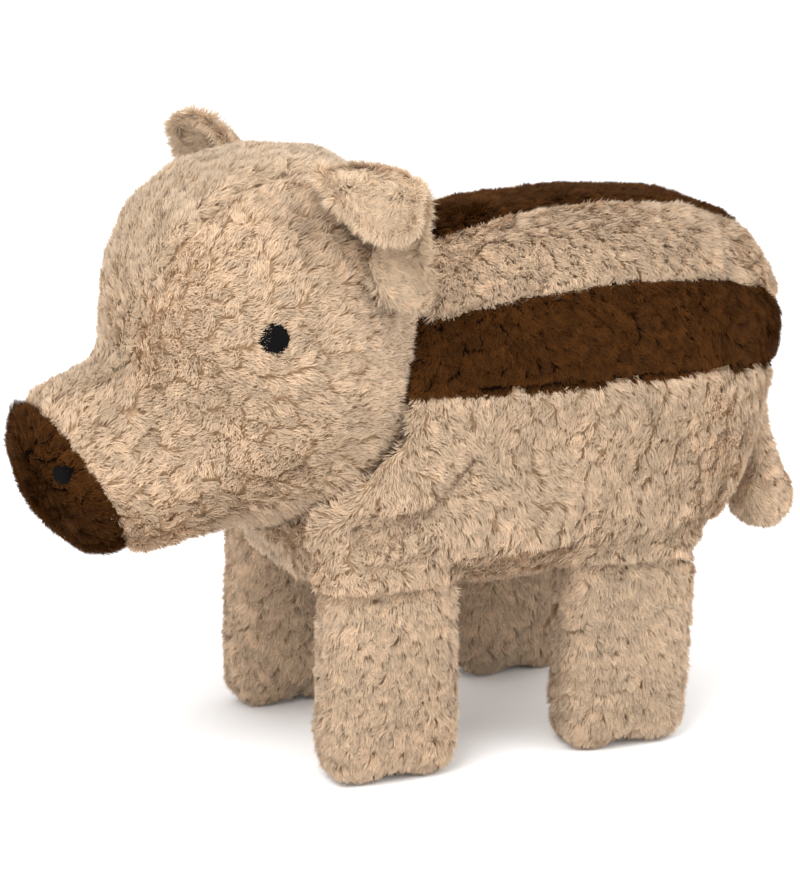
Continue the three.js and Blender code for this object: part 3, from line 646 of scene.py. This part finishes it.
def plush_piece(name, skin, faces, comb, material, neighbours=(), height=pile_height, reach=pile_reach,
                width=fibre_width, density=fibres_per_square_mm, keep=None, part=parting,
                pull=clump_pull):
    """One panel: its patch of skin with its pile, as one mesh."""
    roots, normals, seam, free, away = scatter(skin, faces, density)
    allowed, kept, nearest = pressed(roots, normals, height, neighbours)
    if keep is not None:
        kept &= keep(roots)
    allowed = allowed * (1 - seam_trim * seam) * (1 - close_trim + close_trim * free)
    lean = unit(comb(roots, normals)) + part * (seam * free)[:, None] * away
    lean += lean_across * (1 - free)[:, None] * nearest
    pile = fibres(roots[kept], normals[kept], lean[kept], allowed[kept], reach, width, pull)
    used, patch = np.unique(skin["quads"][faces], return_inverse=True)
    patch = patch.reshape(-1, 4)
    patch_points = skin["points"][used]
    patch_triangles = np.vstack([patch[:, [0, 1, 2]], patch[:, [0, 2, 3]]])
    points, triangles = joined([(patch_points, patch_triangles), pile["mesh"]])
    points[:, 2] = np.maximum(points[:, 2], floor_gap)
    mesh = mesh_from(name, points, triangles)
    # The skin under the pile takes the root end of the ramp, so it carries the same painted shade
    share = np.concatenate([np.zeros(len(used)), pile["share"]])
    tone = np.concatenate([np.full(len(used), 0.5), pile["tone"]])
    for attribute, values in (("pile", share), ("tone", tone)):
        made = mesh.attributes.new(attribute, "FLOAT", "POINT")
        made.data.foreach_set("value", values.astype(np.float32))
    uv = baking_uv(patch_points, pile["cell"])[triangles.ravel()]
    mesh.uv_layers.new(name="OFBake").data.foreach_set("uv", uv.astype(np.float32).ravel())
    mesh.polygons.foreach_set("use_smooth", np.ones(len(triangles), bool))
    normals = np.vstack([skin["normals"][used], pile["normals"]])
    mesh.normals_split_custom_set_from_vertices(normals.tolist())
    mesh.materials.append(material)
    return link(bpy.data.objects.new(name, mesh))


# Materials

def node_material(name):
    """A new material with its nodes, its links and its main shader."""
    material = bpy.data.materials.new(name)
    material.use_nodes = True
    nodes = material.node_tree.nodes
    return material, nodes, material.node_tree.links, nodes["Principled BSDF"]


def noise_node(nodes, links, coordinates, scale, detail=2.0):
    """Noise that stays fixed to the object."""
    noise = nodes.new("ShaderNodeTexNoise")
    noise.inputs["Scale"].default_value = scale
    noise.inputs["Detail"].default_value = detail
    links.new(coordinates.outputs["Object"], noise.inputs["Vector"])
    return noise


def value_range(nodes, links, source, low, high, source_low=0.0, source_high=1.0):
    """A value spread from one range to another."""
    spread = nodes.new("ShaderNodeMapRange")
    spread.inputs["From Min"].default_value = source_low
    spread.inputs["From Max"].default_value = source_high
    spread.inputs["To Min"].default_value = low
    spread.inputs["To Max"].default_value = high
    links.new(source, spread.inputs["Value"])
    return spread.outputs["Result"]


def product(nodes, links, first, second):
    """Two values multiplied."""
    times = nodes.new("ShaderNodeMath")
    times.operation = "MULTIPLY"
    links.new(first, times.inputs[0])
    links.new(second, times.inputs[1])
    return times.outputs["Value"]


def plush(name, root, tip, sheen, tufts):
    """Pile that is darker towards its roots as painted shade deep in the pile, with tufts and broad
    patches of slightly different shade.
    """
    material, nodes, links, shader = node_material(name)
    coordinates = nodes.new("ShaderNodeTexCoord")
    pile = nodes.new("ShaderNodeAttribute")
    pile.attribute_name = "pile"
    tone = nodes.new("ShaderNodeAttribute")
    tone.attribute_name = "tone"
    # Darker from the tips down to the roots: painted shade deep in the pile
    ramp = nodes.new("ShaderNodeValToRGB")
    ramp.color_ramp.elements[0].color = linear(root)
    ramp.color_ramp.elements[0].position = ramp_reach[0]
    ramp.color_ramp.elements[1].color = linear(tip)
    ramp.color_ramp.elements[1].position = ramp_reach[1]
    links.new(pile.outputs["Fac"], ramp.inputs["Fac"])
    strength = value_range(nodes, links, tone.outputs["Fac"], *tufts)
    for scale, low, high in (broad_patches, fine_patches):
        noise = noise_node(nodes, links, coordinates, scale).outputs["Fac"]
        patches = value_range(nodes, links, noise, low, high, *noise_middle)
        strength = product(nodes, links, strength, patches)
    shaded = nodes.new("ShaderNodeVectorMath")
    shaded.operation = "SCALE"
    links.new(ramp.outputs["Color"], shaded.inputs[0])
    links.new(strength, shaded.inputs["Scale"])
    links.new(shaded.outputs["Vector"], shader.inputs["Base Color"])
    through = nodes.new("ShaderNodeBsdfTranslucent")
    links.new(shaded.outputs["Vector"], through.inputs["Color"])
    mix = nodes.new("ShaderNodeMixShader")
    mix.inputs["Fac"].default_value = light_through
    links.new(shader.outputs["BSDF"], mix.inputs[1])
    links.new(through.outputs["BSDF"], mix.inputs[2])
    links.new(mix.outputs["Shader"], nodes["Material Output"].inputs["Surface"])
    shader.inputs["Roughness"].default_value = pile_roughness
    shader.inputs["Specular IOR Level"].default_value = fibre_gloss
    shader.inputs["Sheen Weight"].default_value = sheen
    shader.inputs["Sheen Roughness"].default_value = sheen_roughness
    return material


def fibre(name, colour, scale, roughness):
    """Matted or twisted fibre: one colour, mottled, with a fine bump."""
    material, nodes, links, shader = node_material(name)
    coordinates = nodes.new("ShaderNodeTexCoord")
    noise = noise_node(nodes, links, coordinates, scale, 4)
    ramp = nodes.new("ShaderNodeValToRGB")
    ramp.color_ramp.elements[0].color = linear(tuple(c * fibre_shadow for c in colour))
    ramp.color_ramp.elements[1].color = linear(colour)
    links.new(noise.outputs["Fac"], ramp.inputs["Fac"])
    links.new(ramp.outputs["Color"], shader.inputs["Base Color"])
    bump = nodes.new("ShaderNodeBump")
    bump.inputs["Distance"].default_value = fibre_bump
    links.new(noise.outputs["Fac"], bump.inputs["Height"])
    links.new(bump.outputs["Normal"], shader.inputs["Normal"])
    shader.inputs["Roughness"].default_value = roughness
    shader.inputs["Specular IOR Level"].default_value = fibre_gloss
    return material


beige_plush = plush("beige_plush", beige_shaded_root, beige_tip, beige_sheen, beige_tufts)
light_plush = plush("light_beige_plush", ear_shaded_root, ear_tip, light_sheen, light_tufts)
brown_plush = plush("dark_brown_plush", brown_shaded_root, brown_tip, brown_sheen, brown_tufts)
black_thread = fibre("black_thread", thread_black, scale=900, roughness=0.8)
white_fibre = fibre("white_fibre", filling_white, scale=120, roughness=0.9)


# Combing: the way the pile leans on each body

def steady(direction, spread, scale, seed):
    """A comb that keeps to one direction and wanders a little."""
    wander = np.cross(direction, wander_across)

    def comb(points, normals):
        drift = smooth_noise(points, scale, seed)[:, None]
        return np.array(direction) + wander * spread * drift

    return comb


def down_flank(points, normals):
    """The trunk's comb: backwards along the spine, sideways over the back and down the flanks."""
    drift = smooth_noise(points, flank_drift_scale, flank_seed)
    above = np.maximum(normals[:, 2], 0)
    sideways = points[:, 0] / back_half_width + sideways_drift * drift
    on_spine, on_flank = backwards_lean
    wander = backwards_drift * drift * (1 - steady_above * above)
    backwards = on_spine * above + on_flank - wander
    return np.stack([sideways, backwards, np.full(len(points), -1.0)], axis=1)


down_leg = steady(direction=(0.0, -0.1, -1.0), spread=0.5, scale=20 * MM, seed=5)
head_back = steady(direction=(0.0, 0.75, 0.65), spread=0.6, scale=26 * MM, seed=8)
down_tail = steady(direction=(0.0, 0.2, -1.0), spread=0.6, scale=15 * MM, seed=9)


def geodesic(points, quads, seeds):
    """Distances along the surface from some seed points."""
    corners = ([0, 1], [1, 2], [2, 3], [3, 0], [0, 2])
    ends = np.vstack([quads[:, pair] for pair in corners])
    length = np.linalg.norm(points[ends[:, 0]] - points[ends[:, 1]], axis=1)
    reach = np.full(len(points), unreached)
    reach[seeds] = 0
    for _ in range(most_steps):
        before = reach.copy()
        np.minimum.at(reach, ends[:, 0], before[ends[:, 1]] + length)
        np.minimum.at(reach, ends[:, 1], before[ends[:, 0]] + length)
        if np.array_equal(before, reach):
            break
    return reach


def from_root(form, root, radius):
    """A comb that leads from a root to the far edge along a bent sheet."""
    points, quads = form
    seeds = np.linalg.norm(points - root, axis=1) < radius
    reach = geodesic(points, quads, seeds)
    slope = unit(slopes(points, quads, reach))
    tree = tree_of(points, quads)

    def comb(roots, normals):
        faces = [tree.find_nearest(Vector(p))[2] for p in roots]
        return slope[faces]

    return comb


# The piglet's pieces

def faces_by_panel(skin, count):
    """The faces of a skin that belong to each panel, by a panel that their corners lie on."""
    owner = np.sort(skin["panel"][skin["quads"]], axis=1)[:, 1]
    return [np.flatnonzero(owner == k) for k in range(count)]


trunk_skin = skin_of(trunk_form, trunk_panels, skin_inset,
                     close_to=[tree_of(*head_form)], creases=chest_creases)
head_skin = skin_of(head_form, head_panels, skin_inset, head_seams, close_to=[tree_of(*trunk_form)])
trunk_tree = tree_of(trunk_skin["points"], trunk_skin["quads"])
head_tree = tree_of(head_skin["points"], head_skin["quads"])

slot_materials = {
    "dark_brown_plush": brown_plush,
    "light_beige_plush": light_plush,
    "beige_plush": beige_plush,
}

for panel, faces in zip(trunk_panels, faces_by_panel(trunk_skin, len(trunk_panels))):
    dark = "stripe" in panel
    slot = "dark_brown_plush" if dark else "beige_plush"
    piece = plush_piece(f"{panel}_plush", trunk_skin, faces, down_flank, slot_materials[slot],
                        [head_tree], pull=brown_pull if dark else clump_pull)
    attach(piece, "trunk")
    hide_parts(panel)

head_slots = {"snout_patch": "dark_brown_plush", "forehead_gusset": "light_beige_plush"}
dot_radii = {
    "eye_left": eye_radius,
    "eye_right": eye_radius,
    "nostril_left": nostril_radius,
    "nostril_right": nostril_radius,
}


def clear_of_eyes(roots):
    """Which roots lie outside the stitched eyes and nostrils."""
    kept = np.ones(len(roots), bool)
    for node, radius in dot_radii.items():
        spot = sum(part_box(node), Vector()) / 2
        kept &= np.linalg.norm(roots - np.array(spot), axis=1) > radius + pile_clearance
    return kept


for panel, faces in zip(head_panels, faces_by_panel(head_skin, len(head_panels))):
    slot = head_slots.get(panel, "beige_plush")
    piece = plush_piece(f"{panel}_plush", head_skin, faces, head_back, slot_materials[slot],
                        [trunk_tree], keep=clear_of_eyes)
    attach(piece, "head")
    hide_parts(panel)

for side in ("left", "right"):
    root = np.array(ear_joints[side]["pos_m"])
    panels = [f"ear_{side}_outer", f"ear_{side}_inner"]
    skin = skin_of(ear_forms[side], panels, ear_inset, seams=0)
    comb = from_root(ear_forms[side], root, ear_root_radius)
    for panel, faces in zip(panels, faces_by_panel(skin, 2)):
        piece = plush_piece(f"{panel}_plush", skin, faces, comb, light_plush, [head_tree], **ear_pile)
        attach(piece, f"ear_{side}")
        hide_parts(panel)

leg_trees = {}
for leg in legs:
    panels = [f"leg_{leg}_outer", f"leg_{leg}_inner"]
    skin = skin_of(leg_forms[leg], panels, skin_inset, creases=leg_creases)
    leg_trees[leg] = tree_of(skin["points"], skin["quads"])
    for panel, faces in zip(panels, faces_by_panel(skin, 2)):
        piece = plush_piece(f"{panel}_plush", skin, faces, down_leg, beige_plush, [trunk_tree])
        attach(piece, f"leg_{leg}")
        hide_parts(panel)

tail_panels = ["tail_left", "tail_right"]
tail_skin = skin_of(tail_form, tail_panels, tail_inset, tail_seams)
tail_tree = tree_of(tail_skin["points"], tail_skin["quads"])
for panel, faces in zip(tail_panels, faces_by_panel(tail_skin, 2)):
    piece = plush_piece(f"{panel}_plush", tail_skin, faces, down_tail, beige_plush, [trunk_tree])
    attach(piece, "tail")
    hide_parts(panel)


# Filling: a soft lump under each closed skin

def filling_piece(node, form, body, cover, inset):
    """A lumpy form that stays inside the skin over it."""
    points, quads = form
    normals = point_normals(points, quads)
    lumps = lump_height * smooth_noise(points, lump_spacing, lump_seed)
    points = points - normals * (inset - lumps)[:, None]
    for i, point in enumerate(points):
        place, outward, _, _ = cover.find_nearest(Vector(point))
        if (place - Vector(point)).dot(outward) < filling_gap:
            points[i] = place - outward * filling_gap
    mesh = mesh_from(f"{node}_fibre", points, quads)
    mesh.polygons.foreach_set("use_smooth", np.ones(len(quads), bool))
    mesh.materials.append(white_fibre)
    piece = link(bpy.data.objects.new(f"{node}_fibre", mesh))
    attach(piece, body)
    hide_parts(node)


trunk_filling = form_of(["body_stuffing"], filling_voxel)
filling_piece("body_stuffing", trunk_filling, "trunk", trunk_tree, inset=5 * MM)
head_filling = form_of(["head_stuffing"], filling_voxel)
filling_piece("head_stuffing", head_filling, "head", head_tree, inset=4 * MM)
for leg in legs:
    node = f"leg_{leg}_stuffing"
    leg_filling = form_of([node], leg_filling_voxel)
    filling_piece(node, leg_filling, f"leg_{leg}", leg_trees[leg], inset=3 * MM)
tail_filling = form_of(["tail_stuffing"], tail_filling_voxel, rounds=tail_filling_rounds)
filling_piece("tail_stuffing", tail_filling, "tail", tail_tree, inset=2 * MM)


# Stitched eyes and nostrils

def thread(path, thickness):
    """Points and quads of a thread along a path that stays nearly level."""
    along = unit(np.gradient(path, axis=0))
    side = unit(np.cross(along, (0, 0, 1)))
    above = np.cross(side, along)
    angles = np.arange(thread_sides) / thread_sides * 2 * math.pi
    cosines, sines = np.cos(angles)[None, :, None], np.sin(angles)[None, :, None]
    points = path[:, None] + thickness * (side[:, None] * cosines + above[:, None] * sines)
    ring, spot = np.meshgrid(np.arange(len(path) - 1), np.arange(thread_sides), indexing="ij")
    here = ring * thread_sides + spot
    beside = ring * thread_sides + (spot + 1) % thread_sides
    quads = np.stack([here, beside, beside + thread_sides, here + thread_sides], axis=-1)
    return points.reshape(-1, 3), quads.reshape(-1, 4)


def stitched_dot(node, threads, turn):
    """A raised dot of side-by-side stitches with loose ends around it, set into the pile."""
    low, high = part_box(node)
    place, normal, _, _ = head_tree.find_nearest((low + high) / 2)
    radius = (high - low).length / 2 * dot_share
    parts = []
    for k in range(threads):
        offset = (k + 0.5) / threads * 2 - 1
        half = math.sqrt(max(1 - offset**2, shortest_stitch)) * rng.uniform(*stitch_lengths)
        share = np.linspace(-1, 1, stitch_points)
        sunk = np.where(np.abs(share) > stitch_end, stitch_sunk, 0)
        height = dot_dome * (1 - dot_fall * (offset**2 + (share * half) ** 2)) - sunk
        across = np.full(len(share), offset * radius)
        path = np.stack([share * half * radius, across, height], axis=1)
        parts.append(thread(path, radius / threads * stitch_thickness))
    ends = threads * loose_ends
    for k in range(ends):
        angle = (k + rng.uniform(*loose_turn)) / ends * 2 * math.pi
        reach = np.linspace(loose_from, rng.uniform(*loose_to), loose_points) * radius
        height = np.linspace(loose_start, rng.uniform(*loose_stop), loose_points) * dot_dome
        bend = angle + np.linspace(0, rng.uniform(*loose_bend), loose_points)
        path = np.stack([reach * np.cos(bend), reach * np.sin(bend), height], axis=1)
        parts.append(thread(path, loose_thickness))
    points, quads = joined(parts)
    spin = np.array([[math.cos(turn), -math.sin(turn)], [math.sin(turn), math.cos(turn)]])
    points[:, :2] = points[:, :2] @ spin.T
    mesh = mesh_from(f"{node}_stitches", points, quads)
    seat = normal.to_track_quat("Z", "Y").to_matrix().to_4x4()
    seat.translation = place + normal * (skin_inset - dot_sink)
    mesh.transform(seat)
    mesh.polygons.foreach_set("use_smooth", np.ones(len(quads), bool))
    mesh.materials.append(black_thread)
    piece = link(bpy.data.objects.new(f"{node}_stitches", mesh))
    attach(piece, "head")
    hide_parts(node)


for node in ("eye_left", "eye_right"):
    stitched_dot(node, eye_threads, eye_turn)
for node in ("nostril_left", "nostril_right"):
    stitched_dot(node, nostril_threads, nostril_turn)


# Camera, light and floor

def add_camera():
    """The camera at the photograph's viewing angle."""
    data = bpy.data.cameras.new("camera")
    data.sensor_width = sensor_width
    data.lens = sensor_width * focal_pixels / pixels_high
    camera = link(bpy.data.objects.new("camera", data))
    toward = Vector((math.sin(camera_azimuth) * math.cos(camera_elevation),
                     -math.cos(camera_azimuth) * math.cos(camera_elevation),
                     math.sin(camera_elevation)))
    camera.location = camera_aim + toward * camera_distance
    camera.rotation_euler = (-toward).to_track_quat("-Z", "Y").to_euler()
    bpy.context.scene.camera = camera


def add_light(name, place, size, power):
    """A square lamp that faces the piglet."""
    data = bpy.data.lights.new(name, "AREA")
    data.size = size
    data.energy = power
    lamp = link(bpy.data.objects.new(name, data))
    lamp.location = place
    lamp.rotation_euler = (Vector(light_aim) - Vector(place)).to_track_quat("-Z", "Y").to_euler()


def seen_white(nodes, links, lit, white):
    """Mixes a shader with plain white for rays that come from the camera or off gloss and glass."""
    path = nodes.new("ShaderNodeLightPath")
    total = None
    for ray in ("Is Camera Ray", "Is Glossy Ray", "Is Transmission Ray"):
        if total is None:
            total = path.outputs[ray]
            continue
        most = nodes.new("ShaderNodeMath")
        most.operation = "MAXIMUM"
        links.new(total, most.inputs[0])
        links.new(path.outputs[ray], most.inputs[1])
        total = most.outputs["Value"]
    mix = nodes.new("ShaderNodeMixShader")
    links.new(total, mix.inputs["Fac"])
    links.new(lit, mix.inputs[1])
    links.new(white, mix.inputs[2])
    return mix.outputs["Shader"]


def add_world(level):
    """Even light from all around, which looks plain white itself."""
    world = bpy.data.worlds.new("studio")
    bpy.context.scene.world = world
    world.use_nodes = True
    nodes, links = world.node_tree.nodes, world.node_tree.links
    lit = nodes["Background"]
    lit.inputs["Color"].default_value = (1, 1, 1, 1)
    lit.inputs["Strength"].default_value = level
    white = nodes.new("ShaderNodeBackground")
    white.inputs["Color"].default_value = (1, 1, 1, 1)
    links.new(seen_white(nodes, links, lit.outputs["Background"], white.outputs["Background"]),
              nodes["World Output"].inputs["Surface"])


def add_floor():
    """A plain pale floor, which isn't part of the piglet."""
    mesh = bpy.data.meshes.new("floor")
    corners = [(-1, -1), (1, -1), (1, 1), (-1, 1)]
    mesh.from_pydata([(x * floor_half, y * floor_half, 0) for x, y in corners], [], [(0, 1, 2, 3)])
    floor = link(bpy.data.objects.new("floor", mesh))
    material, _, _, shader = node_material("floor")
    shader.inputs["Base Color"].default_value = (floor_shade, floor_shade, floor_shade, 1)
    shader.inputs["Roughness"].default_value = floor_roughness
    mesh.materials.append(material)


add_camera()
add_world(world_level)
add_light("key", **key_light)
add_light("fill", **fill_light)
add_floor()
bpy.context.scene.view_settings.view_transform = "Standard"
